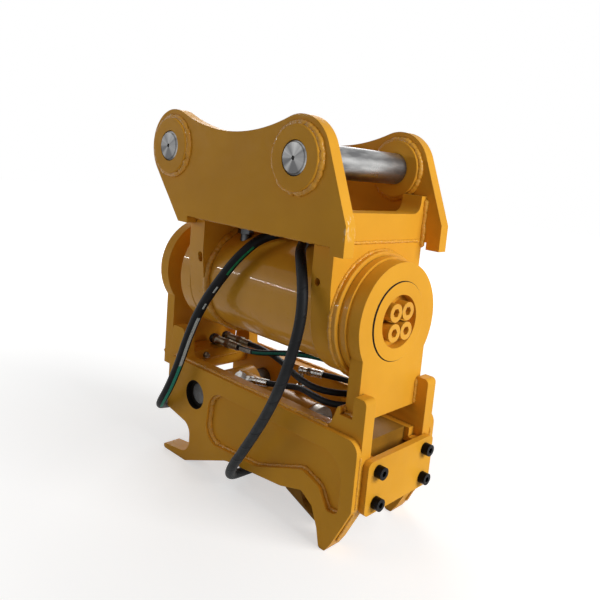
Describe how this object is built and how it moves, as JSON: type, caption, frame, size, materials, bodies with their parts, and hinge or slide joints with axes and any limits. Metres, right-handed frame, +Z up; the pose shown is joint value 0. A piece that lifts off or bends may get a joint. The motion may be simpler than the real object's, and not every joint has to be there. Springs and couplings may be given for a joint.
{
  "type": "tilting quick coupler",
  "caption": "Hydraulic tilting quick coupler for an excavator: pin-on upper bracket with rotary tilt drive over a claw-and-hook frame, yellow paint, bare steel pins and two free hoses.",
  "frame": {"origin": "On the floor, under the middle of the coupler's length and width, cords left out", "axes": "+X along the tilt axis to the end with the cover plate, +Y across to the far ear, +Z up"},
  "size_m": [0.7098, 0.3545, 0.803],
  "materials": {
    "yellow_paint": "glossy construction-yellow enamel over welded steel, slightly uneven, worn at edges",
    "machined_steel": "bare turned steel with fine radial and circular machining marks",
    "chrome_rod": "hard chrome, polished",
    "bronze": "machined bearing bronze",
    "black_steel": "black oxide on socket screws",
    "zinc_steel": "zinc-plated hydraulic fittings",
    "black_rubber": "matt black hose cover with plain coloured marking bands"
  },
  "bodies": {
    "coupler_frame": {"near_side_plate": "yellow_paint", "far_side_plate": "yellow_paint", "near_doubler": "yellow_paint", "far_doubler": "yellow_paint", "right_arm": "yellow_paint", "left_arm": "yellow_paint", "cross_block": "yellow_paint", "left_arm_bolts": "yellow_paint", "tilt_shaft": "machined_steel", "right_hub_disc": "yellow_paint", "left_hub_disc": "yellow_paint", "right_hub_screws": "yellow_paint", "left_hub_screws": "yellow_paint", "cover_plate": "yellow_paint", "cover_lugs": "yellow_paint", "cover_screws": "black_steel", "cylinder_base_pin": "machined_steel", "lock_cylinder_barrel": "yellow_paint", "lock_gland": "machined_steel", "upper_guide_rails": "yellow_paint", "lower_guide_rails": "yellow_paint", "lock_port_fittings": "zinc_steel", "first_lock_hose": "black_rubber", "second_lock_hose": "black_rubber", "lock_hose_adapters": "zinc_steel", "first_hose_end": "zinc_steel", "second_hose_end": "zinc_steel"},
    "upper_bracket": {"near_ear": "yellow_paint", "far_ear": "yellow_paint", "near_pin_bosses": "yellow_paint", "far_pin_bosses": "yellow_paint", "base_plate": "yellow_paint", "right_end_plate": "yellow_paint", "left_end_plate": "yellow_paint", "housing_barrel": "yellow_paint", "bearing_ring": "yellow_paint", "end_cap": "yellow_paint", "end_cap_bolts": "yellow_paint", "housing_bushes": "bronze", "shaft_seals": "black_rubber", "ring_gear": "machined_steel", "housing_port_fittings": "zinc_steel", "first_hose": "black_rubber", "second_hose": "black_rubber"},
    "piston": {"piston_sleeve": "machined_steel", "piston_ring": "black_rubber"},
    "hook": {"lock_rod": "chrome_rod", "lock_hook": "yellow_paint", "hook_pin": "machined_steel"},
    "stick_pin": {"stick_pin": "machined_steel"},
    "link_pin": {"link_pin": "machined_steel"}
  },
  "joints": [
    {"name": "tilt", "type": "hinge", "parent": "coupler_frame", "child": "upper_bracket", "pos_m": [0, 0, 0.438], "axis": [1, 0, 0], "range_deg": [-80, 80], "deforming": ["first_hose", "second_hose"]},
    {"name": "piston_slide", "type": "slide", "parent": "upper_bracket", "child": "piston", "axis": [1, 0, 0], "range_m": [-0.0251, 0.0251]},
    {"name": "lock_slide", "type": "slide", "parent": "coupler_frame", "child": "hook", "axis": [1, 0, 0], "range_m": [-0.085, 0]},
    {"name": "stick_pin_pull", "type": "slide", "parent": "upper_bracket", "child": "stick_pin", "axis": [0, -1, 0], "range_m": [0, 0.36]},
    {"name": "link_pin_pull", "type": "slide", "parent": "upper_bracket", "child": "link_pin", "axis": [0, -1, 0], "range_m": [0, 0.36]}
  ],
  "couplings": [
    {"joint": "piston_slide", "follows": "tilt", "m_per_rad": 0.017905}
  ]
}
